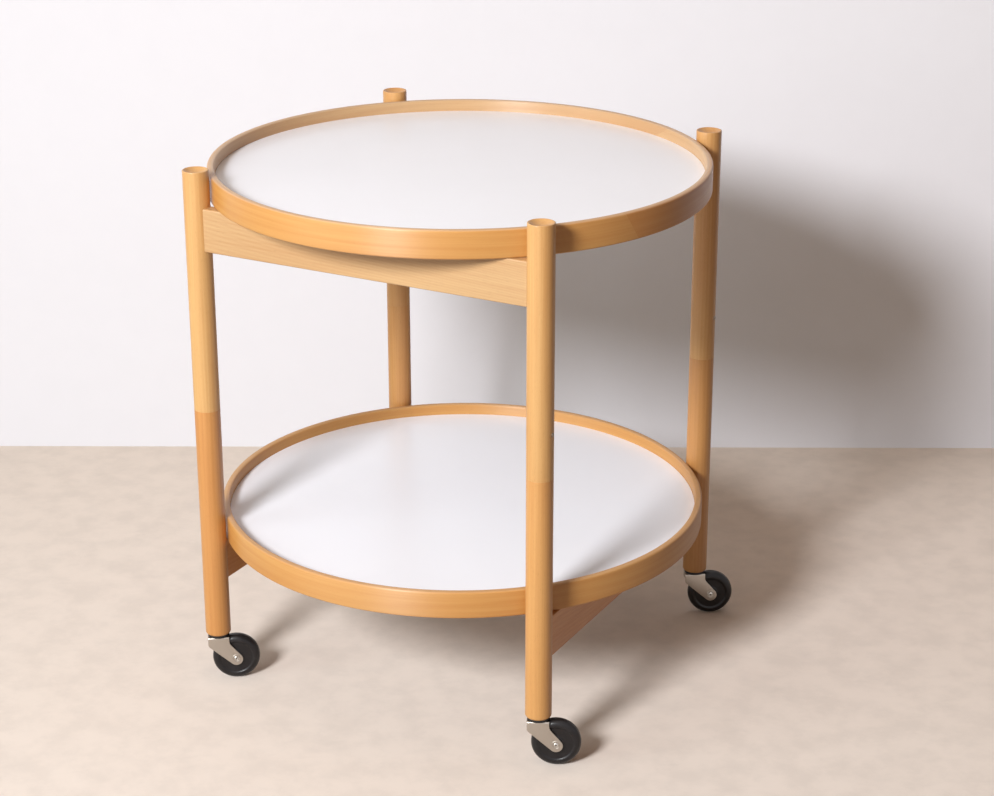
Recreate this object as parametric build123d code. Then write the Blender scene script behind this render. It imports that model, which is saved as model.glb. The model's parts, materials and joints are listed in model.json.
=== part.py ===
"""Round two-tray serving trolley: lift-off trays on a folding dowel frame with swivel casters.

Units are millimetres. +Z is up, the floor is z = 0, and the origin lies under the middle of the trays.
+X runs along the top rails and +Y along the bottom rails, so the four legs stand at (+-a, +-a).
"""
from build123d import *
import os
from math import sqrt

# ---- driving dimensions ----
TRAY_DIAMETER = 600.0
RIM_HEIGHT = 33.0
RIM_THICKNESS = 8.6
RIM_EDGE_RADIUS = 2.4
GROOVE_DEPTH = 3.8
CORE_THICKNESS = 3.2
LAMINATE_THICKNESS = 0.7

LEG_DIAMETER = 31.0
LEG_BOTTOM = 62.0
LOWER_LEG_LENGTH = 298.5
UPPER_LEG_LENGTH = 295.0
TRAY_TO_LEG_GAP = 1.6
LEG_TOP_EDGE_RADIUS = 0.9
LEG_TOP_DISH_DEPTH = 4.8
LEG_TOP_DISH_RADIUS = 13.9
LEG_JOINT_CHAMFER = 0.3
LEG_FOOT_EDGE_RADIUS = 3.0

RAIL_HEIGHT = 52.0
RAIL_THICKNESS = 16.0
RAIL_EDGE_RADIUS = 1.8
TOP_TRAY_BASE = 612.0
LOWER_TRAY_BASE = 184.0

DOWEL_DIAMETER = 8.0
DOWEL_LENGTH = 36.0
DOWEL_START = 4.5
DOWEL_SPACING = 28.0
DOWEL_CHAMFER = 0.8
DOWEL_GAP = 0.1

PIN_DIAMETER = 12.0
PIN_RISE = 62.0
PIN_DROP = 58.0
PIN_CHAMFER = 1.0
SCREW_RISE = 54.0
SCREW_DIAMETER = 3.0
SCREW_HEAD_DIAMETER = 5.6
SCREW_HEAD_HEIGHT = 1.6
SCREW_LENGTH = 13.5
SCREW_SLOT = 0.8

WHEEL_DIAMETER = 58.5
WHEEL_WIDTH = 16.0
WHEEL_HUB_RADIUS = 8.5
WHEEL_DISH_DEPTH = 1.2
WHEEL_DISH_RADIUS = 20.0
WHEEL_TREAD_ROUNDING = 5.4
CASTER_TRAIL = 21.0
AXLE_DIAMETER = 5.0
AXLE_HEAD_DIAMETER = 7.4
AXLE_HEAD_HEIGHT = 1.3

COLLAR_DIAMETER = 26.0
COLLAR_HEIGHT = 3.5
FORK_THICKNESS = 1.6
FORK_LENGTH = 26.0
CROWN_WHEEL_REACH = 9.5
FORK_WHEEL_GAP = 0.8
FORK_BEND_RADIUS = 2.0
FORK_NECK_HEIGHT = 11.8
FORK_TIP_RADIUS = 8.0
FORK_TIP_DROP = 1.4
FORK_THROAT_RADIUS = 9.0
FORK_THROAT_DROP = 8.9
FORK_CORNER_RADIUS = 6.0
STEM_DIAMETER = 8.0
STEM_LENGTH = 34.0
STEM_HEAD_DIAMETER = 11.0
STEM_HEAD_HEIGHT = 1.6
SOCKET_DIAMETER = 11.0
SOCKET_LENGTH = 36.0

RUNNING_CLEARANCE = 0.05
GLUE_GAP = 0.05

# Which way each caster trails, in degrees from +X towards +Y.
CASTER_HEADINGS = {"front_left": 34.0, "front_right": 25.0, "back_left": 28.0, "back_right": 31.0}

# ---- worked out from them ----
TRAY_RADIUS = TRAY_DIAMETER / 2
RIM_INNER_RADIUS = TRAY_RADIUS - RIM_THICKNESS
LEG_RADIUS = LEG_DIAMETER / 2
LEG_OFFSET = (TRAY_RADIUS + TRAY_TO_LEG_GAP + LEG_RADIUS) / sqrt(2)
LEG_JOINT = LEG_BOTTOM + LOWER_LEG_LENGTH
BORE_SPARE = 2.0
AXLE_HEIGHT = WHEEL_DIAMETER / 2
CROWN_TOP = LEG_BOTTOM - COLLAR_HEIGHT
CROWN_BASE = CROWN_TOP - FORK_THICKNESS
FORK_INNER = WHEEL_WIDTH / 2 + FORK_WHEEL_GAP
FORK_OUTER = FORK_INNER + FORK_THICKNESS

# Each leg as the side it stands on: x sign, y sign.
LEGS = {
    "front_left": (-1, -1),
    "front_right": (1, -1),
    "back_left": (-1, 1),
    "back_right": (1, 1),
}
UP = (Align.CENTER, Align.CENTER, Align.MIN)
DOWN = (Align.CENTER, Align.CENTER, Align.MAX)


def save(node, shape):
    """Write one node's solid or solids under the node's name."""
    shape.label = node
    export_step(shape, f"parts/{node}.step")


def rod(radius, start, end):
    """A plain cylinder on the Z axis between two heights."""
    return Pos(0, 0, start) * Cylinder(radius, end - start, align=UP)


def chamfered_rod(radius, start, end, chamfer_size):
    """A cylinder on the Z axis with both of its ends chamfered."""
    body = rod(radius, start, end)
    return chamfer(body.edges().filter_by(GeomType.CIRCLE), chamfer_size)


# ---- trays ----
def tray_rim(base):
    """The bent hoop, with its edges eased and a groove for the board half-way up."""
    blank = Cylinder(TRAY_RADIUS, RIM_HEIGHT, align=UP) - Cylinder(RIM_INNER_RADIUS, RIM_HEIGHT, align=UP)
    blank = fillet(blank.edges().filter_by(GeomType.CIRCLE), RIM_EDGE_RADIUS)
    groove = Cylinder(RIM_INNER_RADIUS + GROOVE_DEPTH, CORE_THICKNESS)
    return Pos(0, 0, base) * (blank - Pos(0, 0, RIM_HEIGHT / 2) * groove)


def tray_core(base):
    """The thin board, with its edge in the rim's groove."""
    middle = base + RIM_HEIGHT / 2
    edge = RIM_INNER_RADIUS + GROOVE_DEPTH - GLUE_GAP
    return rod(edge, middle - CORE_THICKNESS / 2, middle + CORE_THICKNESS / 2)


def tray_laminate(base, side):
    """One white face, above the core for side 1 and below it for side -1."""
    near = base + RIM_HEIGHT / 2 + side * CORE_THICKNESS / 2
    far = near + side * LAMINATE_THICKNESS
    return rod(RIM_INNER_RADIUS - 4 * GLUE_GAP, min(near, far), max(near, far))


def make_trays():
    for name, base in (("top", TOP_TRAY_BASE), ("lower", LOWER_TRAY_BASE)):
        save(f"{name}_tray_rim", tray_rim(base))
        save(f"{name}_tray_board", tray_core(base))
        save(f"{name}_tray_upper_laminate", tray_laminate(base, 1))
        save(f"{name}_tray_under_laminate", tray_laminate(base, -1))


# ---- rails and their dowels ----
def dowel_heights(rail_base):
    """The two heights at which dowels enter a rail's end."""
    middle = rail_base + RAIL_HEIGHT / 2
    return middle - DOWEL_SPACING / 2, middle + DOWEL_SPACING / 2


def dowel_row(radius, start, end, rail_base):
    """Two level rods that point along +X from a leg's axis, as holes or as dowels."""
    one = Rot(0, 90, 0) * rod(radius, start, end)
    low, high = dowel_heights(rail_base)
    return Pos(0, 0, low) * one + Pos(0, 0, high) * one


def rail(rail_base):
    """A rail along X with its ends coped to the round legs and bored for dowels."""
    span = 2 * LEG_OFFSET
    bar = Box(span, RAIL_THICKNESS, RAIL_HEIGHT, align=UP)
    bar = Pos(0, 0, rail_base) * fillet(bar.edges().filter_by(Axis.X), RAIL_EDGE_RADIUS)
    hole_end = DOWEL_START + DOWEL_LENGTH + BORE_SPARE
    holes = dowel_row(DOWEL_DIAMETER / 2 + DOWEL_GAP, 0, hole_end, rail_base)
    for turn in (0, 180):
        end = Rot(0, 0, turn) * Pos(-LEG_OFFSET, 0, 0)
        bar -= end * rod(LEG_RADIUS + GLUE_GAP, rail_base - 1, rail_base + RAIL_HEIGHT + 1)
        bar -= end * holes
    return bar


def rail_dowels(rail_base):
    """The four glued dowels of one rail."""
    low, high = dowel_heights(rail_base)
    dowel = Rot(0, 90, 0) * chamfered_rod(
        DOWEL_DIAMETER / 2, DOWEL_START, DOWEL_START + DOWEL_LENGTH, DOWEL_CHAMFER
    )
    placed = [
        Rot(0, 0, turn) * Pos(-LEG_OFFSET, 0, height) * dowel for turn in (0, 180) for height in (low, high)
    ]
    return Compound(children=placed)


def make_rails():
    top_base = TOP_TRAY_BASE - RAIL_HEIGHT
    bottom_base = LOWER_TRAY_BASE - RAIL_HEIGHT
    places = {
        "front_top": (Pos(0, -LEG_OFFSET, 0), top_base),
        "back_top": (Pos(0, LEG_OFFSET, 0), top_base),
        "left_bottom": (Pos(-LEG_OFFSET, 0, 0) * Rot(0, 0, 90), bottom_base),
        "right_bottom": (Pos(LEG_OFFSET, 0, 0) * Rot(0, 0, 90), bottom_base),
    }
    for name, (place, base) in places.items():
        save(f"{name}_rail", place * rail(base))
        save(f"{name}_rail_dowels", place * rail_dowels(base))


# ---- legs, pivot pins and screws ----
def leg_hole_depth():
    """How far from the leg's axis its dowel holes start, just short of the dowels' ends."""
    return DOWEL_START - BORE_SPARE / 2


def upper_leg(x_side):
    """An upper leg half on the Z axis, with its dowel holes and pin bore."""
    top = LEG_JOINT + UPPER_LEG_LENGTH
    body = rod(LEG_RADIUS, LEG_JOINT, top)
    rings = body.edges().filter_by(GeomType.CIRCLE).sort_by(Axis.Z)
    body = fillet(rings[-1], LEG_TOP_EDGE_RADIUS)
    rings = body.edges().filter_by(GeomType.CIRCLE).sort_by(Axis.Z)
    body = chamfer(rings[0], LEG_JOINT_CHAMFER)
    ball_radius = (LEG_TOP_DISH_RADIUS**2 + LEG_TOP_DISH_DEPTH**2) / (2 * LEG_TOP_DISH_DEPTH)
    body -= Pos(0, 0, top - LEG_TOP_DISH_DEPTH + ball_radius) * Sphere(ball_radius)
    body -= rod(PIN_DIAMETER / 2 + GLUE_GAP, LEG_JOINT, LEG_JOINT + PIN_RISE + BORE_SPARE)
    body -= screw_shape(x_side, GLUE_GAP)
    rail_base = TOP_TRAY_BASE - RAIL_HEIGHT
    holes = dowel_row(DOWEL_DIAMETER / 2 + DOWEL_GAP, leg_hole_depth(), LEG_RADIUS, rail_base)
    return body - Rot(0, 0, 0 if x_side < 0 else 180) * holes


def lower_leg(y_side):
    """A lower leg half on the Z axis, rounded at the foot and bored for its pin and caster socket."""
    body = rod(LEG_RADIUS, LEG_BOTTOM, LEG_JOINT)
    rings = body.edges().filter_by(GeomType.CIRCLE).sort_by(Axis.Z)
    body = fillet(rings[0], LEG_FOOT_EDGE_RADIUS)
    rings = body.edges().filter_by(GeomType.CIRCLE).sort_by(Axis.Z)
    body = chamfer(rings[-1], LEG_JOINT_CHAMFER)
    body -= rod(PIN_DIAMETER / 2 + RUNNING_CLEARANCE, LEG_JOINT - PIN_DROP - BORE_SPARE, LEG_JOINT)
    body -= rod(SOCKET_DIAMETER / 2 + GLUE_GAP, LEG_BOTTOM, LEG_BOTTOM + SOCKET_LENGTH + BORE_SPARE)
    rail_base = LOWER_TRAY_BASE - RAIL_HEIGHT
    holes = dowel_row(DOWEL_DIAMETER / 2 + DOWEL_GAP, leg_hole_depth(), LEG_RADIUS, rail_base)
    return body - Rot(0, 0, 90 if y_side < 0 else -90) * holes


def screw_shape(x_side, spare):
    """A countersunk screw that enters the leg level, from its outer side; spare makes it a hole."""
    head_face = LEG_RADIUS - 0.3
    head = Cone(
        SCREW_DIAMETER / 2 + spare, SCREW_HEAD_DIAMETER / 2 + spare, SCREW_HEAD_HEIGHT, align=UP
    )
    lip = Cylinder(SCREW_HEAD_DIAMETER / 2 + spare, 1.0, align=UP)
    shank = Cylinder(SCREW_DIAMETER / 2 + spare, SCREW_LENGTH + spare - SCREW_HEAD_HEIGHT, align=DOWN)
    screw = Pos(0, 0, -SCREW_HEAD_HEIGHT) * (head + shank)
    if spare:
        screw += lip
    else:
        screw -= Pos(0, 0, -SCREW_SLOT / 2) * Box(SCREW_HEAD_DIAMETER, SCREW_SLOT, SCREW_SLOT)
    return Pos(0, 0, LEG_JOINT + SCREW_RISE) * Rot(0, 90 * x_side, 0) * Pos(0, 0, head_face) * screw


def pivot_pin(x_side):
    """The steel pin that both leg halves share, drilled for its locking screw."""
    pin = chamfered_rod(PIN_DIAMETER / 2, LEG_JOINT - PIN_DROP, LEG_JOINT + PIN_RISE, PIN_CHAMFER)
    return pin - screw_shape(x_side, GLUE_GAP)


def make_legs():
    for name, (x_side, y_side) in LEGS.items():
        place = Pos(x_side * LEG_OFFSET, y_side * LEG_OFFSET, 0)
        save(f"{name}_upper_leg", place * upper_leg(x_side))
        save(f"{name}_lower_leg", place * lower_leg(y_side))
        save(f"{name}_pivot_pin", place * pivot_pin(x_side))
        save(f"{name}_pivot_screw", place * screw_shape(x_side, 0))


# ---- casters, drawn with the stem on the Z axis and the wheel trailing along +X ----
def wheel():
    """A moulded wheel with dished faces, a hub and a round tread."""
    half = WHEEL_WIDTH / 2
    dish = half - WHEEL_DISH_DEPTH
    slope = 1.5
    side = [
        (AXLE_DIAMETER / 2 + RUNNING_CLEARANCE, half),
        (WHEEL_HUB_RADIUS, half),
        (WHEEL_HUB_RADIUS + slope, dish),
        (WHEEL_DISH_RADIUS, dish),
        (WHEEL_DISH_RADIUS + slope, half),
        (WHEEL_DIAMETER / 2, half),
    ]
    section = make_face(Polyline(*side, *[(r, -y) for r, y in reversed(side)], close=True))
    shoulders = section.vertices().group_by(Axis.X)[-1]
    turned = revolve(fillet(shoulders, WHEEL_TREAD_ROUNDING), Axis.Y)
    return Pos(CASTER_TRAIL, 0, AXLE_HEIGHT) * turned


def axle():
    """The rivet through the fork's tips, with a low domed head at each end."""
    shaft = Cylinder(AXLE_DIAMETER / 2, 2 * FORK_OUTER)
    head_radius = AXLE_HEAD_DIAMETER / 2
    ball_radius = (head_radius**2 + AXLE_HEAD_HEIGHT**2) / (2 * AXLE_HEAD_HEIGHT)
    cap = Pos(0, 0, FORK_OUTER - ball_radius + AXLE_HEAD_HEIGHT) * Sphere(ball_radius)
    cap &= rod(AXLE_HEAD_DIAMETER, FORK_OUTER, FORK_OUTER + 2 * AXLE_HEAD_HEIGHT)
    rivet = shaft + cap + mirror(cap, Plane.XY)
    return Pos(CASTER_TRAIL, 0, AXLE_HEIGHT) * Rot(90, 0, 0) * rivet


def fork_side():
    """The outline of one fork plate, an upright neck and a slanting arm: x along the trail, y up."""
    neck_base = CROWN_TOP - FORK_NECK_HEIGHT
    throat = CROWN_TOP - FORK_THROAT_DROP
    neck = Pos(0, (CROWN_TOP + neck_base) / 2) * Rectangle(FORK_LENGTH, FORK_NECK_HEIGHT)
    root = Pos(0, (throat + neck_base) / 2) * Rectangle(FORK_LENGTH, throat - neck_base)
    tip = Pos(CASTER_TRAIL, AXLE_HEIGHT - FORK_TIP_DROP) * Circle(FORK_TIP_RADIUS)
    plate = neck + make_hull(root.edges() + tip.edges())
    corner = plate.vertices().sort_by_distance((-FORK_LENGTH / 2, neck_base))[0]
    plate = fillet(corner, FORK_CORNER_RADIUS)
    corner = plate.vertices().sort_by_distance((FORK_LENGTH / 2, throat))[0]
    return fillet(corner, FORK_THROAT_RADIUS)


def fork():
    """The pressed steel fork: a crown plate bent down into two side plates, cut short over the wheel."""
    plate = extrude(fork_side(), FORK_THICKNESS)
    body = Pos(0, 0, CROWN_BASE) * Box(FORK_LENGTH, 2 * FORK_INNER, FORK_THICKNESS, align=UP)
    for outer in (FORK_OUTER, -FORK_INNER):
        body += Pos(0, outer, 0) * Rot(90, 0, 0) * plate
    folds = body.edges().filter_by(Axis.X).group_by(Axis.Z)[-1]
    body = fillet(folds, FORK_BEND_RADIUS)
    wheel_room = Box(FORK_LENGTH, 2 * FORK_INNER, 4 * FORK_THICKNESS, align=(Align.MIN, Align.CENTER, Align.CENTER))
    body -= Pos(CROWN_WHEEL_REACH, 0, CROWN_TOP) * wheel_room
    body -= rod(STEM_DIAMETER / 2 + GLUE_GAP, CROWN_BASE, CROWN_TOP)
    bore = Cylinder(AXLE_DIAMETER / 2 + GLUE_GAP / 2, 4 * FORK_OUTER)
    return body - Pos(CASTER_TRAIL, 0, AXLE_HEIGHT) * Rot(90, 0, 0) * bore


def stem():
    """The swivel stem, riveted up through the fork's crown."""
    shaft = rod(STEM_DIAMETER / 2, CROWN_BASE - STEM_HEAD_HEIGHT, LEG_BOTTOM + STEM_LENGTH)
    shaft = chamfer(shaft.edges().filter_by(GeomType.CIRCLE).sort_by(Axis.Z)[-1], 1.0)
    head = chamfered_rod(STEM_HEAD_DIAMETER / 2, CROWN_BASE - STEM_HEAD_HEIGHT, CROWN_BASE, 0.4)
    return shaft + head


def collar():
    """The dark spacer ring between the leg and the fork's crown."""
    ring = rod(COLLAR_DIAMETER / 2, CROWN_TOP, LEG_BOTTOM)
    ring = fillet(ring.edges().filter_by(GeomType.CIRCLE), 0.5)
    return ring - rod(STEM_DIAMETER / 2 + RUNNING_CLEARANCE, CROWN_TOP, LEG_BOTTOM)


def socket():
    """The sleeve in the leg in which the stem turns."""
    sleeve = rod(SOCKET_DIAMETER / 2, LEG_BOTTOM, LEG_BOTTOM + SOCKET_LENGTH)
    return sleeve - rod(STEM_DIAMETER / 2 + RUNNING_CLEARANCE, LEG_BOTTOM, LEG_BOTTOM + SOCKET_LENGTH)


def make_casters():
    pieces = {
        "wheel": wheel(),
        "axle": axle(),
        "fork": fork(),
        "stem": stem(),
        "collar": collar(),
        "socket": socket(),
    }
    for name, (x_side, y_side) in LEGS.items():
        place = Pos(x_side * LEG_OFFSET, y_side * LEG_OFFSET, 0) * Rot(0, 0, CASTER_HEADINGS[name])
        for piece, shape in pieces.items():
            save(f"{name}_caster_{piece}", place * shape)


os.makedirs("parts", exist_ok=True)
make_trays()
make_rails()
make_legs()
make_casters()
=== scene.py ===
"""Round two-tray serving trolley: its woods, laminate, metal and casters, on a plain pale stage.

Lengths are metres and angles are radians, unless a name says otherwise. +Z is up, +X runs along the
top rails and +Y along the bottom rails.
"""
import json
from math import cos, pi, radians, sin

import bmesh
import bpy
from bpy.props import FloatProperty, FloatVectorProperty, IntProperty, PointerProperty
from mathutils import Matrix, Vector


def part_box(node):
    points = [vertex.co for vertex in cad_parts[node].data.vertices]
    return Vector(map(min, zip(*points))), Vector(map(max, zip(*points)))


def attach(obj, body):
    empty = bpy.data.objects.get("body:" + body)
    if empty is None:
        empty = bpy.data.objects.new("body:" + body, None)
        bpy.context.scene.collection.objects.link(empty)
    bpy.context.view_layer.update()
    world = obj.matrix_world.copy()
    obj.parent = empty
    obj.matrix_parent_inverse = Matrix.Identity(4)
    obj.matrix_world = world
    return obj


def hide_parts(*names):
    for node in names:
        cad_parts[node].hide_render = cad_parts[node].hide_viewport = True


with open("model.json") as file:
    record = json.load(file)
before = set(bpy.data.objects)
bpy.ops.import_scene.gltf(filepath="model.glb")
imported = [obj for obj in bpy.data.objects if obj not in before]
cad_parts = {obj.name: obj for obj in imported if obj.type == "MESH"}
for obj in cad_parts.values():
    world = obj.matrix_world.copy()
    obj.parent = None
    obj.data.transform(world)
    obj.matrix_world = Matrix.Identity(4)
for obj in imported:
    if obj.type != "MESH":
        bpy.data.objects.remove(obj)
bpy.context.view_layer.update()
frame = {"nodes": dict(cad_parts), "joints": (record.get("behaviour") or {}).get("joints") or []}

bl_info = {
    "name": "Serving trolley",
    "version": (1, 0, 0),
    "blender": (4, 5, 0),
    "location": "View3D > Sidebar > Trolley",
    "description": "Builds a round two-tray serving trolley round its packed frame",
    "category": "Object",
}

LEGS = ("front_left", "front_right", "back_left", "back_right")
TRAYS = ("top", "lower")
TOP_RAILS = ("front_top", "back_top")
BOTTOM_RAILS = ("left_bottom", "right_bottom")
OUTER_SLANT = 2.1  # radians that a rim's outer joint leans for each metre of height
INNER_SLANT = 6.7
# How far each leg's upper and lower halves go from the pale leg tones to the deep foot tones. The back legs'
# extra depth is partly their own tone and partly painted shade for the trays' shade that falls on them.
DEPTHS = {
    "front_left": (0.0, 1.0), "front_right": (0.0, 0.75), "back_left": (0.55, 0.8), "back_right": (0.4, 0.85),
}
LAMP_AIM = 0.35  # height above the floor of the point that the lamps face
SHEET_REACH = 6.0  # from the middle of the floor or wall to its edges
LOWER_START = 3.0  # how far along the grain a lower leg half starts, so that it differs from the upper one
GLUE_LINE = 0.0006  # width of the dark line at a rim's joint
JOINT_FADE = 0.25  # along the rim, from the deep wood at its joint to the usual tone
TOP_BAND_START = 0.0016  # below the rim's top, where the paler top band starts: partly edge wear, partly painted sheen
TOP_BAND_FULL = 0.0002
# Radii of the wheel's face, from the hub's edge to the rim's inner edge.
HUB_EDGE = 0.0085
HUB_FOOT = 0.0098
DISH_EDGE = 0.0198
RIM_EDGE = 0.0216
# Heights on a rivet above the fork plate, and half-widths across its dimple and crown.
HEAD_HEIGHT = 0.0014
DIMPLE_DEPTH = 0.0009
DIMPLE = 0.0007
CROWN = 0.0018
RING_HEIGHT = 0.00045
# A leg screw: radii and heights from the wood's face.
SHANK = 0.0015
HEAD = 0.0028
HEAD_DEPTH = 0.0016
FACETS_SMALL = 48  # facets round a rivet or ring
FACETS_SCREW = 32
SHARP_EDGE = radians(38)  # edges that turn by more than this stay crisp


def display(red, green, blue):
    """A linear colour from the 0 to 255 values that a screen shows."""
    def linear(level):
        share = level / 255
        return share / 12.92 if share <= 0.04045 else ((share + 0.055) / 1.055) ** 2.4

    return linear(red), linear(green), linear(blue)


def colour(name, description, default):
    """A colour setting."""
    return FloatVectorProperty(
        name=name, description=description, default=default, subtype="COLOR", size=3, min=0, max=1
    )


def length(name, description, default):
    """A length setting, in metres."""
    return FloatProperty(name=name, description=description, default=default, unit="LENGTH", precision=5)


def angle(name, description, degrees):
    """An angle setting."""
    return FloatProperty(name=name, description=description, default=radians(degrees), unit="ROTATION")


def amount(name, description, default):
    """A plain number setting."""
    return FloatProperty(name=name, description=description, default=default, min=0)


# ---- settings ----
class TrolleyWood(bpy.types.PropertyGroup):
    """The woods, their lacquer and their figure."""

    leg_light: colour("Leg light", "Pale wood of the upper legs", display(211, 170, 111))
    leg_dark: colour("Leg dark", "Deep wood of the upper legs", display(191, 137, 79))
    foot_light: colour("Foot light", "Pale wood of the lower legs", display(205, 150, 85))
    foot_dark: colour("Foot dark", "Deep wood of the lower legs", display(182, 118, 60))
    rim_light: colour("Rim light", "Pale wood outside a rim", display(201, 150, 86))
    rim_dark: colour("Rim dark", "Deep wood outside a rim", display(184, 122, 60))
    inside_light: colour("Inside light", "Pale wood inside the top rim", display(201, 165, 121))
    inside_dark: colour("Inside dark", "Deep wood inside the top rim", display(182, 137, 95))
    rail_light: colour("Rail light", "Pale wood of the top rails", display(195, 160, 115))
    rail_dark: colour("Rail dark", "Grain lines of the top rails", display(173, 129, 84))
    # The bottom rails' deeper, more orange tones are partly their own wood and partly painted shade from the
    # lower tray above them.
    low_rail_light: colour("Low rail light", "Pale wood of the bottom rails", display(210, 150, 84))
    low_rail_dark: colour("Low rail dark", "Grain lines of the bottom rails", display(188, 119, 57))
    board_light: colour("Board light", "Pale plies of the tray boards", display(214, 178, 132))
    board_dark: colour("Board dark", "Deep plies of the tray boards", display(172, 128, 84))
    # Colour of the paler band along a rim's top face: partly edge wear, partly painted sheen from the light
    # on the top.
    tone_shift: colour("Worn edge", "Paler wood where edges have been handled", display(214, 182, 150))
    wood_roughness: amount("Wood roughness", "How matt the wood under the lacquer is", 0.5)
    lacquer: amount("Lacquer", "How much lacquer there is", 0.35)
    lacquer_roughness: amount("Lacquer roughness", "How matt the lacquer is", 0.25)


class TrolleyTrays(bpy.types.PropertyGroup):
    """The tray rims and their white faces."""

    laminate: colour("Laminate", "White face of the tray boards", display(247, 247, 254))
    laminate_roughness: amount("Laminate roughness", "How matt the laminate is", 0.3)
    rim_gap: length("Rim gap", "Gap between laminate and rim", 0.0002)
    rim_ease: length("Rim ease", "Rounding of the rim's four edges", 0.0024)
    groove_depth: length("Groove depth", "How far the board enters the rim", 0.0038)
    rim_steps: IntProperty(name="Rim steps", description="Facets round a rim", default=240, min=24)
    seam_outside: angle("Outer seam", "Foot of the scarf joint in the outer layer, from +X", -19.7)
    seam_inside: angle("Inner seam", "Foot of the scarf joint in the inner layer, from +X", 69.1)
    lower_turn: angle("Lower turn", "How far the lower tray is turned from the top one", 150.0)


class TrolleyCasters(bpy.types.PropertyGroup):
    """The wheels, forks and small steel."""

    wheel: colour("Wheel", "Moulded plastic of the wheels", display(25, 22, 23))
    collar: colour("Collar", "Dark spacer rings", display(30, 27, 26))
    fork: colour("Fork", "Satin nickel of the forks", display(184, 176, 166))
    steel: colour("Steel", "Bright steel of pins and rivets", display(214, 212, 208))
    # Darker than the pins' steel: partly dull steel, partly painted shade round the screw heads.
    screw: colour("Screw", "Dull steel of the leg screws", display(140, 126, 110))
    wheel_steps: IntProperty(name="Wheel steps", description="Facets round a wheel", default=128, min=24)
    wheel_width: length("Wheel width", "Across the wheel at its rim and hub", 0.016)
    wheel_dish: length("Wheel dish", "How far the wheel's faces are sunk", 0.0012)
    wheel_bore: length("Wheel bore", "Radius of the hole for the axle", 0.00255)
    wheel_ease: length("Wheel ease", "Rounding of the wheel's lesser corners", 0.0007)
    axle_radius: length("Axle radius", "Radius of the rivet's shaft", 0.0025)
    fork_outside: length("Fork outside", "From the wheel's middle to a fork plate's outer face", 0.0104)
    edge_ease: length("Edge ease", "Rounding of the fork's cut edges", 0.0003)
    tread_ease: length("Tread ease", "Rounding of the wheel's outer corners", 0.0068)
    rivet_radius: length("Rivet radius", "Radius of a rivet's domed head", 0.0027)
    washer_radius: length("Washer radius", "Outer radius of the ring pressed up round it", 0.0052)


class TrolleyStage(bpy.types.PropertyGroup):
    """The floor, wall, lamps and camera."""

    floor: colour("Floor", "Pale floor", display(239, 225, 215))
    wall: colour("Wall", "Pale wall", display(229, 226, 231))
    sky: colour("Sky", "Background past the wall", display(240, 236, 238))
    fill: colour("Fill", "Tint of the light from all round", (1.0, 0.58, 0.3))
    fill_strength: amount("Fill strength", "Light from all round", 0.1)
    bounce: colour("Bounce", "Share of their light that floor and wall throw back", (0.41, 0.38, 0.33))
    key_power: amount("Key power", "Watts of the low lamp in front", 139.0)
    key_tint: colour("Key tint", "Colour of the low lamp in front", (0.958, 0.983, 1.0))
    key_height: angle("Key height", "Angle of the low lamp above the floor", 29.0)
    key_side: angle("Key side", "Where the low lamp stands, from -Y towards +X", -1.0)
    key_distance: length("Key distance", "How far the low lamp stands off", 3.4)
    key_size: length("Key size", "Width of the low lamp", 0.8)
    side_height: angle("Side height", "Angle of the wide lamp on the left above the floor", 18.0)
    side_side: angle("Side place", "Where the wide lamp on the left stands, from -Y towards +X", -35.0)
    side_distance: length("Side distance", "How far the wide lamp on the left stands off", 5.0)
    side_size: length("Side size", "Width of the wide lamp on the left", 3.0)
    side_power: amount("Side power", "Watts of the wide lamp on the left", 78.0)
    side_tint: colour("Side tint", "Colour of the wide lamp on the left", (0.82, 0.95, 0.95))
    top_height: angle("Top height", "Angle of the wide lamp overhead above the floor", 80.0)
    top_side: angle("Top place", "Where the wide lamp overhead stands, from -Y towards +X", 0.0)
    top_distance: length("Top distance", "How far the wide lamp overhead stands off", 2.3)
    top_size: length("Top size", "Width of the wide lamp overhead", 2.4)
    top_power: amount("Top power", "Watts of the wide lamp overhead", 6.0)
    top_tint: colour("Top tint", "Colour of the wide lamp overhead", (1.0, 0.79, 0.58))
    wall_distance: length("Wall distance", "From the trolley's middle to the wall", 0.667)
    wall_turn: angle("Wall turn", "Direction of the wall from +X", 27.9)
    camera_side: angle("Camera side", "Where the camera stands, from -Y towards +X", 29.327)
    camera_distance: length("Camera distance", "From the trolley's middle, along the floor", 2.6093)
    camera_height: length("Camera height", "Above the floor", 1.3412)
    camera_tilt: angle("Camera tilt", "How far it looks down", 21.022)
    camera_pan: angle("Camera pan", "How far it looks away from the middle", -0.95)
    camera_roll: angle("Camera roll", "How far it leans", -0.06)
    camera_lens: FloatProperty(name="Lens", description="Focal length in mm", default=81.687, min=1)


# ---- shader graphs ----
class Value:
    """One output of a shader graph, so that maths on it reads as plain arithmetic."""

    def __init__(self, graph, socket):
        self.graph = graph
        self.socket = socket

    def __add__(self, other):
        return self.graph.maths("ADD", self, other)

    __radd__ = __add__

    def __sub__(self, other):
        return self.graph.maths("SUBTRACT", self, other)

    def __rsub__(self, other):
        return self.graph.maths("SUBTRACT", other, self)

    def __mul__(self, other):
        return self.graph.maths("MULTIPLY", self, other)

    __rmul__ = __mul__

    def __truediv__(self, other):
        return self.graph.maths("DIVIDE", self, other)

    def __rtruediv__(self, other):
        return self.graph.maths("DIVIDE", other, self)

    def __gt__(self, other):
        return self.graph.maths("GREATER_THAN", self, other)

    def __lt__(self, other):
        return self.graph.maths("LESS_THAN", self, other)


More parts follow.
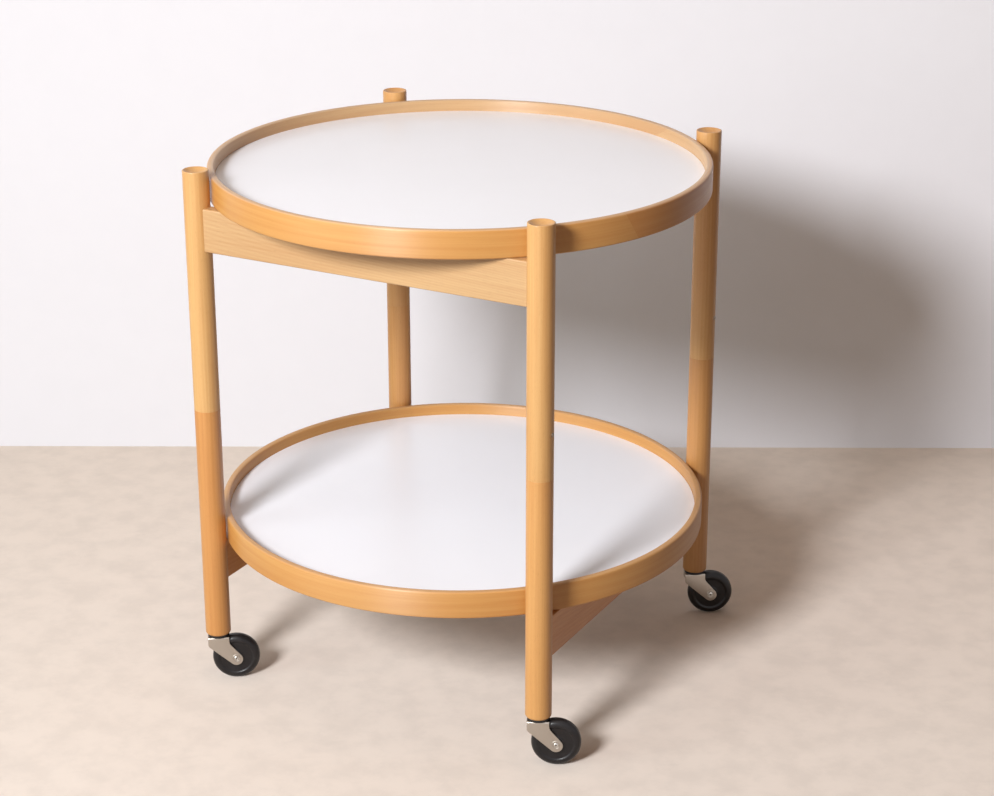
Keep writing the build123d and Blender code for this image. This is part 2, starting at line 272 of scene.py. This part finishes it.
class Graph:
    """The node tree of a material or the world."""

    def __init__(self, tree):
        self.tree = tree
        tree.nodes.clear()

    def add(self, kind, settings=None, sockets=None):
        """Adds a node, sets it up, then gives its sockets values or links; returns its outputs by name."""
        node = self.tree.nodes.new(kind)
        for name, setting in (settings or {}).items():
            setattr(node, name, setting)
        for name, given in (sockets or {}).items():
            socket = node.inputs[name]
            if isinstance(given, Value):
                self.tree.links.new(given.socket, socket)
            elif socket.type == "RGBA":
                socket.default_value = (*given, 1.0)
            else:
                socket.default_value = given
        return {output.identifier: Value(self, output) for output in node.outputs}

    def maths(self, operation, *given):
        """A Math node on two or three numbers."""
        return self.add("ShaderNodeMath", {"operation": operation}, dict(enumerate(given)))["Value"]

    def between(self, number, low, high):
        """0 below low, 1 above high and a smooth step in the middle."""
        settings = {"interpolation_type": "SMOOTHSTEP"}
        sockets = {"Value": number, "From Min": low, "From Max": high}
        return self.add("ShaderNodeMapRange", settings, sockets)["Result"]

    def mixed(self, share, first, second, blend="MIX"):
        """Two colours mixed; share 0 is the first."""
        settings = {"data_type": "RGBA", "blend_type": blend, "clamp_factor": True}
        sockets = {0: share, 6: first, 7: second}
        return self.add("ShaderNodeMix", settings, sockets)["Result_Color"]

    def vector(self, x, y, z):
        return self.add("ShaderNodeCombineXYZ", None, {"X": x, "Y": y, "Z": z})["Vector"]

    def place(self):
        """The X, Y and Z of the shaded point, in metres."""
        where = self.add("ShaderNodeTexCoord")["Object"]
        parts = self.add("ShaderNodeSeparateXYZ", None, {"Vector": where})
        return parts["X"], parts["Y"], parts["Z"]

    def seen(self):
        """1 for a ray that shows the background to the camera, straight or in a glossy or clear surface."""
        rays = self.add("ShaderNodeLightPath")
        straight = self.maths("MAXIMUM", rays["Is Camera Ray"], rays["Is Glossy Ray"])
        return self.maths("MAXIMUM", straight, rays["Is Transmission Ray"])

    def noise(self, where, detail=2.0, roughness=0.5):
        sockets = {"Vector": where, "Scale": 1.0, "Detail": detail, "Roughness": roughness}
        return self.add("ShaderNodeTexNoise", {"noise_dimensions": "3D"}, sockets)["Fac"]

    def speckle(self, place, count, detail=2.0, roughness=0.5):
        """Even noise with so many blobs a metre."""
        return self.noise(self.vector(*(value * count for value in place)), detail, roughness)


class Finish(Graph):
    """A material made of one principled surface."""

    def __init__(self, name):
        self.material = bpy.data.materials.new(name)
        self.material.use_nodes = True
        super().__init__(self.material.node_tree)

    def dimmed(self, shade, share):
        """A colour brought down to a share of its brightness."""
        return self.mixed(1.0, shade, (share, share, share), "MULTIPLY")

    def surface(self, sockets, bump=None, bump_distance=0.0):
        """Finishes the material; bump is a height from 0 to 1, worth bump_distance metres."""
        if bump is not None:
            given = {"Height": bump, "Strength": 1.0, "Distance": bump_distance}
            sockets["Normal"] = self.add("ShaderNodeBump", None, given)["Normal"]
        shader = self.add("ShaderNodeBsdfPrincipled", None, sockets)["BSDF"]
        self.add("ShaderNodeOutputMaterial", None, {"Surface": shader})
        return self.material


def wood(finish, light, dark, grain, lines=0.07, spacing=0.005, fan=0.0, drift=0.5, flecks=0.15, sheen=None):
    """Lacquered wood.

    grain is the point's place along, across and into the wood, in metres. lines is how strongly the
    year rings show and spacing how far apart they are, which fan narrows along the grain. drift is how
    much the tone wanders and flecks how dark the short pores are. sheen sets how fibres stretch gloss.
    """
    along, across, depth = grain

    def drawn_out(count, stretch, detail=2.0):
        """Noise of so many blobs a metre, drawn out along the grain."""
        where = finish.vector(across * count, depth * count, along * (count / stretch))
        return finish.noise(where, detail)

    tone = drawn_out(20, 8, 3.0)
    fibres = drawn_out(420, 60, 3.0)
    waver = drawn_out(7, 4)
    pith = finish.maths("SQRT", (across + 0.06) * (across + 0.06) + (depth + 0.02) * (depth + 0.02))
    rings = finish.maths("SINE", (pith / spacing * (along * fan + 1.0) + waver * 4.0) * (2 * pi)) * 0.5
    figure = (tone - 0.5) * (drift * 2.0) + (fibres - 0.5) * 0.5 + rings * lines + 0.5
    shade = finish.mixed(finish.between(figure, 0.0, 1.0), light, dark)
    pores = finish.between(drawn_out(1700, 10, 1.0), 0.6, 0.72)
    shade = finish.mixed(pores * flecks, shade, finish.dimmed(dark, 0.5))
    woods = bpy.context.scene.trolley_wood
    sockets = {
        "Base Color": shade,
        "Roughness": fibres * 0.12 + (woods.wood_roughness - 0.06),
        "Coat Weight": woods.lacquer,
        "Coat Roughness": woods.lacquer_roughness,
        **(sheen or {}),
    }
    return finish.surface(sockets, bump=fibres * 0.6 - pores * 0.4, bump_distance=0.00003)


def grain_along(finish, axis, middle=(0.0, 0.0, 0.0)):
    """Straight grain along X, Y or Z, measured from a middle point."""
    x, y, z = (value - start for value, start in zip(finish.place(), middle))
    return {"X": (x, z, y), "Y": (y, z, x), "Z": (z, x, y)}[axis]


def metal(name, tint, roughness):
    """Plated steel with a faint drawn texture."""
    finish = Finish(name)
    place = finish.place()
    clouds = finish.speckle(place, 160.0, 3.0)
    fine = finish.speckle(place, 2500.0)
    shade = finish.mixed(clouds * 0.3, tint, tuple(0.8 * level for level in tint))
    return finish.surface(
        {"Base Color": shade, "Metallic": 1.0, "Roughness": clouds * 0.12 + fine * 0.05 + (roughness - 0.08)},
        bump=fine, bump_distance=0.000008,
    )


def plastic(name, tint, roughness):
    """Moulded plastic with a faint grain and a little dust."""
    finish = Finish(name)
    place = finish.place()
    grain = finish.speckle(place, 1800.0)
    clouds = finish.speckle(place, 90.0, 4.0)
    dusty = tuple(min(1.0, 1.6 * level + 0.012) for level in tint)
    shade = finish.mixed(finish.between(clouds, 0.45, 0.8) * 0.5, tint, dusty)
    return finish.surface(
        {"Base Color": shade, "Roughness": clouds * 0.14 + (roughness - 0.07), "Specular IOR Level": 0.35},
        bump=grain, bump_distance=0.00002,
    )


# ---- meshes ----
def new_object(name, mesh_builder, material):
    """An object at the origin from a bmesh, which it uses up."""
    mesh = bpy.data.meshes.new(name)
    mesh_builder.to_mesh(mesh)
    mesh_builder.free()
    mesh.materials.append(material)
    piece = bpy.data.objects.new(name, mesh)
    bpy.context.scene.collection.objects.link(piece)
    return piece


def add_piece(name, mesh_builder, material, body, replaced=()):
    """Makes one piece from a bmesh and puts it on its body."""
    for face in mesh_builder.faces:
        face.smooth = True
    for edge in mesh_builder.edges:
        if edge.is_manifold and edge.calc_face_angle() > SHARP_EDGE:
            edge.smooth = False
    piece = new_object(name, mesh_builder, material)
    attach(piece, body)
    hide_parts(*replaced)
    return piece


def turned(outline, steps, eases=()):
    """Spins a closed outline of (radius, height) points round Z; eases lists (corners, offset, segments)."""
    mesh_builder = bmesh.new()
    corners = [mesh_builder.verts.new((r, 0, z)) for r, z in outline]
    mesh_builder.faces.new(corners)
    for picked, offset, segments in eases:
        bmesh.ops.bevel(
            mesh_builder, geom=[corners[i] for i in picked], offset=offset, offset_type="OFFSET",
            segments=segments, profile=0.5, affect="VERTICES", material=-1,
        )
    bmesh.ops.delete(mesh_builder, geom=mesh_builder.faces[:], context="FACES_ONLY")
    bmesh.ops.spin(
        mesh_builder, geom=mesh_builder.edges[:], cent=(0, 0, 0), axis=(0, 0, 1), dvec=(0, 0, 0),
        angle=2 * pi, steps=steps, use_merge=True,
    )
    bmesh.ops.remove_doubles(mesh_builder, verts=mesh_builder.verts[:], dist=1e-7)
    bmesh.ops.recalc_face_normals(mesh_builder, faces=mesh_builder.faces[:])
    return mesh_builder


def eased_copy(node, ease, segments=3):
    """A frame node's own shape with its sharp edges rounded."""
    mesh_builder = bmesh.new()
    mesh_builder.from_mesh(frame["nodes"][node].data)
    bmesh.ops.remove_doubles(mesh_builder, verts=mesh_builder.verts[:], dist=1e-6)
    bmesh.ops.dissolve_limit(
        mesh_builder, angle_limit=radians(0.5), verts=mesh_builder.verts[:], edges=mesh_builder.edges[:],
    )
    sharp = [e for e in mesh_builder.edges if e.is_manifold and e.calc_face_angle() > radians(35)]
    bmesh.ops.bevel(
        mesh_builder, geom=sharp, offset=ease, offset_type="OFFSET", segments=segments, profile=0.5,
        affect="EDGES", clamp_overlap=True, material=-1,
    )
    return mesh_builder


def paint(node, material):
    """Gives a frame node its finish."""
    for material_slot in frame["nodes"][node].material_slots:
        material_slot.material = material


def joint(name):
    """The joint of that name."""
    return next(row for row in frame["joints"] if row["name"] == name)


# ---- operators ----
class TROLLEY_OT_stage(bpy.types.Operator):
    """Lay the floor and wall, and set up the lamps and camera"""

    bl_idname = "trolley.stage"
    bl_label = "Stage"

    def execute(self, context):
        stage = context.scene.trolley_stage
        self.sheet("floor", stage, stage.floor, Matrix.Identity(4), mottling=0.9)
        out = Vector((sin(stage.wall_turn), -cos(stage.wall_turn), 0.0))
        upright = Matrix.Translation(-out * stage.wall_distance)
        upright @= Matrix.Rotation(stage.wall_turn, 4, "Z") @ Matrix.Rotation(pi / 2, 4, "X")
        self.sheet("wall", stage, stage.wall, upright, mottling=0.1)
        for name in ("key", "side", "top"):
            self.lamp(name, stage)
        self.sky(context, stage)
        self.camera(context, stage)
        context.scene.view_settings.view_transform = "Standard"
        return {"FINISHED"}

    def sheet(self, name, stage, tint, place, mottling):
        """A large mottled sheet, clear from behind, with painted light: it pales downwards, rightwards and to
        the wall.
        """
        finish = Finish(name)
        x, y, z = finish.place()
        blotches = finish.speckle((x, y, z), 22.0, 5.0, 0.6)
        drawn = finish.vector(x * 14.0 + y * 9.0, y * 50.0 - x * 40.0, z * 22.0)
        streaks = finish.noise(drawn, 3.0, 0.6)
        tone_shift = finish.between(blotches, 0.35, 0.7) * 0.6 + finish.between(streaks, 0.55, 0.8) * 0.2
        # Painted light: the sheet's colour grades from 0.85 to 1.15 of its tint, paler rightwards, towards
        # the wall and downwards, to even out the lamps' falloff across it.
        right = x * cos(stage.wall_turn) + y * sin(stage.wall_turn)
        deep = y * cos(stage.wall_turn) - x * sin(stage.wall_turn)
        pale = finish.between(right * 0.65 + deep * 0.8 - z * 0.6, -1.0, 1.0)
        dimmer, brighter = (tuple(share * level for level in tint) for share in (0.85, 1.15))
        painted_light_tint = finish.mixed(pale, dimmer, brighter)
        shade = finish.mixed(tone_shift * mottling, painted_light_tint, finish.dimmed(painted_light_tint, 0.85))
        thrown = tuple(share * level for share, level in zip(stage.bounce, tint))
        shade = finish.mixed(finish.seen(), thrown, shade)
        matt = {"Base Color": shade, "Roughness": 0.8}
        shader = finish.add("ShaderNodeBsdfPrincipled", None, matt)["BSDF"]
        behind = finish.add("ShaderNodeNewGeometry")["Backfacing"]
        clear = finish.add("ShaderNodeBsdfTransparent")["BSDF"]
        shader = finish.add("ShaderNodeMixShader", None, {0: behind, 1: shader, 2: clear})["Shader"]
        finish.add("ShaderNodeOutputMaterial", None, {"Surface": shader})
        mesh_builder = bmesh.new()
        bmesh.ops.create_grid(mesh_builder, x_segments=1, y_segments=1, size=SHEET_REACH)
        bmesh.ops.transform(mesh_builder, matrix=place, verts=mesh_builder.verts[:])
        new_object(name, mesh_builder, finish.material)

    def lamp(self, name, stage):
        """A round lamp that faces the trolley's middle, set up from the settings that start with its name."""
        parts = ("side", "height", "distance", "size", "power", "tint")
        side, height, distance, size, power, tint = (getattr(stage, f"{name}_{part}") for part in parts)
        light = bpy.data.lights.new(name, "AREA")
        light.shape = "DISK"
        light.size = size
        light.energy = power
        light.color = tint
        holder = bpy.data.objects.new(name, light)
        away = Vector((sin(side) * cos(height), -cos(side) * cos(height), sin(height)))
        holder.location = Vector((0.0, 0.0, LAMP_AIM)) + away * distance
        holder.rotation_mode = "QUATERNION"
        holder.rotation_quaternion = away.to_track_quat("Z", "Y")
        bpy.context.scene.collection.objects.link(holder)

    def sky(self, context, stage):
        """Even light from all round, and a plain pale background where nothing stands."""
        world = bpy.data.worlds.new("sky")
        world.use_nodes = True
        context.scene.world = world
        graph = Graph(world.node_tree)
        seen = graph.seen()
        strength = graph.maths("MULTIPLY_ADD", seen, 1.0 - stage.fill_strength, stage.fill_strength)
        shade = graph.mixed(seen, tuple(stage.fill), tuple(stage.sky))
        shine = graph.add("ShaderNodeBackground", None, {"Color": shade, "Strength": strength})["Background"]
        graph.add("ShaderNodeOutputWorld", None, {"Surface": shine})

    def camera(self, context, stage):
        lens = bpy.data.cameras.new("camera")
        lens.sensor_fit = "HORIZONTAL"
        lens.sensor_width = 36.0
        lens.lens = stage.camera_lens
        holder = bpy.data.objects.new("camera", lens)
        heading = stage.camera_side + stage.camera_pan
        level = cos(stage.camera_tilt)
        forward = Vector((-sin(heading) * level, cos(heading) * level, -sin(stage.camera_tilt)))
        right = forward.cross(Vector((0, 0, 1))).normalized()
        up = right.cross(forward)
        roll = stage.camera_roll
        across, upwards = right * cos(roll) + up * sin(roll), up * cos(roll) - right * sin(roll)
        lean = Matrix((across, upwards, -forward))
        holder.matrix_world = Matrix.Translation((
            stage.camera_distance * sin(stage.camera_side),
            -stage.camera_distance * cos(stage.camera_side),
            stage.camera_height,
        )) @ lean.transposed().to_4x4()
        context.scene.collection.objects.link(holder)
        context.scene.camera = holder


class TROLLEY_OT_trays(bpy.types.Operator):
    """Make the bent rims and face the tray boards with laminate"""

    bl_idname = "trolley.trays"
    bl_label = "Trays"

    def execute(self, context):
        trays = context.scene.trolley_trays
        woods = context.scene.trolley_wood
        core = Finish("board_core")
        core = wood(core, tuple(woods.board_light), tuple(woods.board_dark), grain_along(core, "X"))
        face = self.laminate(trays)
        for tray, turn in zip(TRAYS, (0.0, trays.lower_turn)):
            self.hoop(tray, trays, self.bent_beech(tray, trays, woods, turn))
            paint(f"{tray}_tray_board", core)
            paint(f"{tray}_tray_upper_laminate", face)
            paint(f"{tray}_tray_under_laminate", face)
        return {"FINISHED"}

    def bent_beech(self, tray, trays, woods, turn):
        """Wood bent round in two layers, each with a long slanting joint where its ends meet."""
        finish = Finish(f"{tray}_rim_beech")
        low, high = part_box(f"{tray}_tray_rim")
        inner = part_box(f"{tray}_tray_upper_laminate")[1].x
        x, y, z = finish.place()
        radius = finish.maths("SQRT", x * x + y * y)
        outside = radius > (inner + high.x) / 2
        height = z - low.z
        seam = outside * (trays.seam_outside - trays.seam_inside) + (trays.seam_inside + turn)
        slant = height * (outside * (OUTER_SLANT - INNER_SLANT) + INNER_SLANT)
        along = finish.maths("ARCTAN2", y, x) - seam + slant
        along = finish.maths("WRAP", along, 2 * pi, 0.0) * high.x
        outer = tuple(woods.rim_light), tuple(woods.rim_dark)
        # The lower rim's inner layer, which lies in the top tray's shade, takes the deeper outer tones
        # instead of the pale inside ones: painted shade.
        inner_layer = outer if turn else (tuple(woods.inside_light), tuple(woods.inside_dark))
        light = finish.mixed(outside, inner_layer[0], outer[0])
        dark = finish.mixed(outside, inner_layer[1], outer[1])
        glued = finish.between(along, 0.0, GLUE_LINE) * 0.35 + 0.65
        fresh = finish.between(along, 0.0, JOINT_FADE)
        light = finish.mixed(fresh * 0.5 + 0.5, dark, light)
        # Paler band along the rim's top face: partly edge wear, partly painted sheen; weaker on the lower
        # rim, which lies under the top tray.
        tone_shift = finish.between(z, high.z - TOP_BAND_START, high.z - TOP_BAND_FULL) * (0.2 if turn else 0.45)
        light = finish.mixed(tone_shift, light, tuple(woods.tone_shift))
        dark = finish.mixed(tone_shift, dark, tuple(woods.tone_shift))
        light = finish.mixed(glued, finish.dimmed(dark, 0.5), light)
        grain = along + low.z * 7.0, height, radius - inner
        sheen = {
            "Anisotropic": 0.9, "Anisotropic Rotation": 0.25, "Specular IOR Level": 0.65, "Coat Weight": 0.15,
        }
        return wood(
            finish, light, dark, grain, lines=0.12, spacing=0.011, drift=0.45, flecks=0.1, sheen=sheen
        )

    def laminate(self, trays):
        finish = Finish("white_laminate")
        place = finish.place()
        clouds = finish.speckle(place, 5.0, 3.0)
        peel = finish.speckle(place, 900.0, 1.0)
        dimmer = tuple(0.94 * level for level in trays.laminate)
        shade = finish.mixed(finish.between(clouds, 0.35, 0.75) * 0.4, tuple(trays.laminate), dimmer)
        gloss = clouds * 0.1 + (trays.laminate_roughness - 0.05)
        return finish.surface(
            {"Base Color": shade, "Roughness": gloss}, bump=peel, bump_distance=0.000004
        )

    def hoop(self, tray, trays, material):
        """One rim: a grooved section with eased edges, spun round the tray."""
        low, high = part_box(f"{tray}_tray_rim")
        board_low, board_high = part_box(f"{tray}_tray_board")
        outer = high.x
        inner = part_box(f"{tray}_tray_upper_laminate")[1].x + trays.rim_gap
        deep = inner + trays.groove_depth
        outline = [
            (inner, low.z), (outer, low.z), (outer, high.z), (inner, high.z),
            (inner, board_high.z), (deep, board_high.z), (deep, board_low.z), (inner, board_low.z),
        ]
        hoop = turned(outline, trays.rim_steps, [(range(4), trays.rim_ease, 5)])
        add_piece(f"{tray}_tray_hoop", hoop, material, f"{tray}_tray", [f"{tray}_tray_rim"])


class TROLLEY_OT_rails(bpy.types.Operator):
    """Finish the rails and their dowels"""

    bl_idname = "trolley.rails"
    bl_label = "Rails"

    def execute(self, context):
        woods = context.scene.trolley_wood
        pegs = Finish("dowel_beech")
        pegs = wood(pegs, tuple(woods.foot_light), tuple(woods.foot_dark), grain_along(pegs, "X"))
        upper_tones = tuple(woods.rail_light), tuple(woods.rail_dark)
        # Bottom rail tones: partly their own wood, partly painted shade under the lower tray.
        lower_tones = tuple(woods.low_rail_light), tuple(woods.low_rail_dark)
        for rails, axis, tones in ((TOP_RAILS, "X", upper_tones), (BOTTOM_RAILS, "Y", lower_tones)):
            for rail in rails:
                low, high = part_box(f"{rail}_rail")
                plank = Finish(f"{rail}_ash")
                grain = grain_along(plank, axis, (low + high) / 2)
                paint(f"{rail}_rail", wood(plank, *tones, grain, lines=0.13, spacing=0.0035, fan=1.5))
                paint(f"{rail}_rail_dowels", pegs)
        return {"FINISHED"}


class TROLLEY_OT_legs(bpy.types.Operator):
    """Finish the leg halves, their pivot pins and screws"""

    bl_idname = "trolley.legs"
    bl_label = "Legs"

    def execute(self, context):
        woods = context.scene.trolley_wood
        steel = metal("bright_steel", tuple(context.scene.trolley_casters.steel), 0.25)
        # Screw steel: darker partly as dull steel, partly as painted shade round the heads.
        dull_shaded_steel = metal("screw_steel", tuple(context.scene.trolley_casters.screw), 0.32)
        tones = (woods.leg_light, woods.foot_light), (woods.leg_dark, woods.foot_dark)
        for leg in LEGS:
            for half, share, start in zip(("upper", "lower"), DEPTHS[leg], (0.0, LOWER_START)):
                finish = Finish(f"{leg}_{half}_beech")
                # On the back legs this deeper mix is partly painted shade.
                light, dark = (Vector(pale).lerp(Vector(deep), share)[:] for pale, deep in tones)
                grain = grain_along(finish, "Z", (0.0, 0.0, start))
                paint(f"{leg}_{half}_leg", wood(finish, light, dark, grain))
            paint(f"{leg}_pivot_pin", steel)
            self.screw(leg, dull_shaded_steel)
        return {"FINISHED"}

    def screw(self, leg, material):
        """A leg screw, level with its frame node, whose low domed head stands just proud of the wood."""
        low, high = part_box(f"{leg}_pivot_screw")
        out = 1 if low.x > 0 else -1
        long = high.x - low.x
        outline = [
            (0.0, -long), (SHANK, -long), (SHANK, -HEAD_DEPTH), (HEAD, 0.0), (HEAD, 0.0004),
            (0.0021, 0.0011), (0.0009, 0.0014), (0.0007, 0.0006), (0.0, 0.0006),
        ]
        screw = turned(outline, FACETS_SCREW)
        middle = (low + high) / 2
        face = Matrix.Translation((middle.x + out * long / 2, middle.y, middle.z))
        bmesh.ops.transform(screw, matrix=face @ Matrix.Rotation(out * pi / 2, 4, "Y"), verts=screw.verts[:])
        body = "front_upper_frame" if leg.startswith("front") else "back_upper_frame"
        add_piece(f"{leg}_screw", screw, material, body, [f"{leg}_pivot_screw"])


class TROLLEY_OT_casters(bpy.types.Operator):
    """Turn the wheels and rivets, and finish the forks, stems and collars"""

    bl_idname = "trolley.casters"
    bl_label = "Casters"

    def execute(self, context):
        casters = context.scene.trolley_casters
        nickel = metal("satin_nickel", tuple(casters.fork), 0.36)
        steel = metal("caster_steel", tuple(casters.steel), 0.22)
        tyre = plastic("wheel_plastic", tuple(casters.wheel), 0.33)
        ring = plastic("collar_plastic", tuple(casters.collar), 0.5)
        for leg in LEGS:
            spin = joint(f"{leg}_wheel_spin")
            centre = Vector(spin["pos_m"])
            facing = Vector((0, 0, 1)).rotation_difference(Vector(spin["axis"])).to_matrix().to_4x4()
            place = Matrix.Translation(centre) @ facing
            self.wheel(leg, casters, place, centre, tyre)
            self.rivet(leg, casters, place, nickel, steel)
            fork = eased_copy(f"{leg}_caster_fork", casters.edge_ease)
            add_piece(f"{leg}_fork", fork, nickel, f"{leg}_caster", [f"{leg}_caster_fork"])
            paint(f"{leg}_caster_stem", steel)
            paint(f"{leg}_caster_socket", steel)
            paint(f"{leg}_caster_collar", ring)
        return {"FINISHED"}

    def wheel(self, leg, casters, place, centre, material):
        """A moulded wheel: hub, dished face, thick rim and rounded tread."""
        radius = centre.z
        half = casters.wheel_width / 2
        dish = half - casters.wheel_dish
        side = [
            (casters.wheel_bore, half), (HUB_EDGE, half), (HUB_FOOT, dish), (DISH_EDGE, dish),
            (RIM_EDGE, half), (radius, half),
        ]
        outline = side + [(r, -z) for r, z in reversed(side)]
        shoulders = (5, 6)
        others = [i for i in range(1, len(outline) - 1) if i not in shoulders]
        eases = [(others, casters.wheel_ease, 4), (shoulders, casters.tread_ease, 12)]
        wheel = turned(outline, casters.wheel_steps, eases)
        bmesh.ops.transform(wheel, matrix=place, verts=wheel.verts[:])
        add_piece(f"{leg}_wheel", wheel, material, f"{leg}_wheel", [f"{leg}_caster_wheel"])

    def rivet(self, leg, casters, place, plate, material):
        """The axle rivet with its dimpled heads, and a ring pressed up round it on each fork tip."""
        outer = casters.fork_outside
        ring_top = outer + RING_HEIGHT
        head_top = outer + HEAD_HEIGHT
        head = [
            (DIMPLE, head_top - DIMPLE_DEPTH), (DIMPLE + 0.0002, head_top), (CROWN, head_top - 0.0001),
            (casters.rivet_radius, outer + 0.0003), (casters.rivet_radius, outer),
            (casters.axle_radius, outer),
        ]
        ring = [
            (casters.washer_radius - 0.0012, outer), (casters.washer_radius - 0.0008, ring_top),
            (casters.washer_radius - 0.0004, ring_top), (casters.washer_radius, outer),
        ]
        rivet = turned(head + [(r, -z) for r, z in reversed(head)], FACETS_SMALL)
        bmesh.ops.transform(rivet, matrix=place, verts=rivet.verts[:])
        add_piece(f"{leg}_rivet", rivet, material, f"{leg}_caster", [f"{leg}_caster_axle"])
        for side, flip in (("near", 1), ("far", -1)):
            raised = turned([(r, flip * z) for r, z in ring], FACETS_SMALL)
            bmesh.ops.transform(raised, matrix=place, verts=raised.verts[:])
            add_piece(f"{leg}_{side}_ring", raised, plate, f"{leg}_caster")


class TROLLEY_PT_panel(bpy.types.Panel):
    """The trolley's pieces and settings"""

    bl_idname = "TROLLEY_PT_panel"
    bl_label = "Serving trolley"
    bl_space_type = "VIEW_3D"
    bl_region_type = "UI"
    bl_category = "Trolley"

    def draw(self, context):
        for operator, settings in STEPS:
            self.layout.operator(operator.bl_idname)
            for group in settings:
                for name in group.__annotations__:
                    self.layout.prop(getattr(context.scene, SETTINGS[group]), name)


SETTINGS = {
    TrolleyWood: "trolley_wood",
    TrolleyTrays: "trolley_trays",
    TrolleyCasters: "trolley_casters",
    TrolleyStage: "trolley_stage",
}
STEPS = (
    (TROLLEY_OT_stage, (TrolleyStage,)),
    (TROLLEY_OT_trays, (TrolleyTrays, TrolleyWood)),
    (TROLLEY_OT_rails, ()),
    (TROLLEY_OT_legs, ()),
    (TROLLEY_OT_casters, (TrolleyCasters,)),
)
CLASSES = (*SETTINGS, *(operator for operator, _ in STEPS), TROLLEY_PT_panel)


def register():
    for cls in CLASSES:
        bpy.utils.register_class(cls)
    for group, name in SETTINGS.items():
        setattr(bpy.types.Scene, name, PointerProperty(type=group))


def unregister():
    for name in SETTINGS.values():
        delattr(bpy.types.Scene, name)
    for cls in reversed(CLASSES):
        bpy.utils.unregister_class(cls)


def main():
    register()
    bpy.ops.trolley.stage()
    bpy.ops.trolley.trays()
    bpy.ops.trolley.rails()
    bpy.ops.trolley.legs()
    bpy.ops.trolley.casters()


if __name__ == "__main__":
    main()
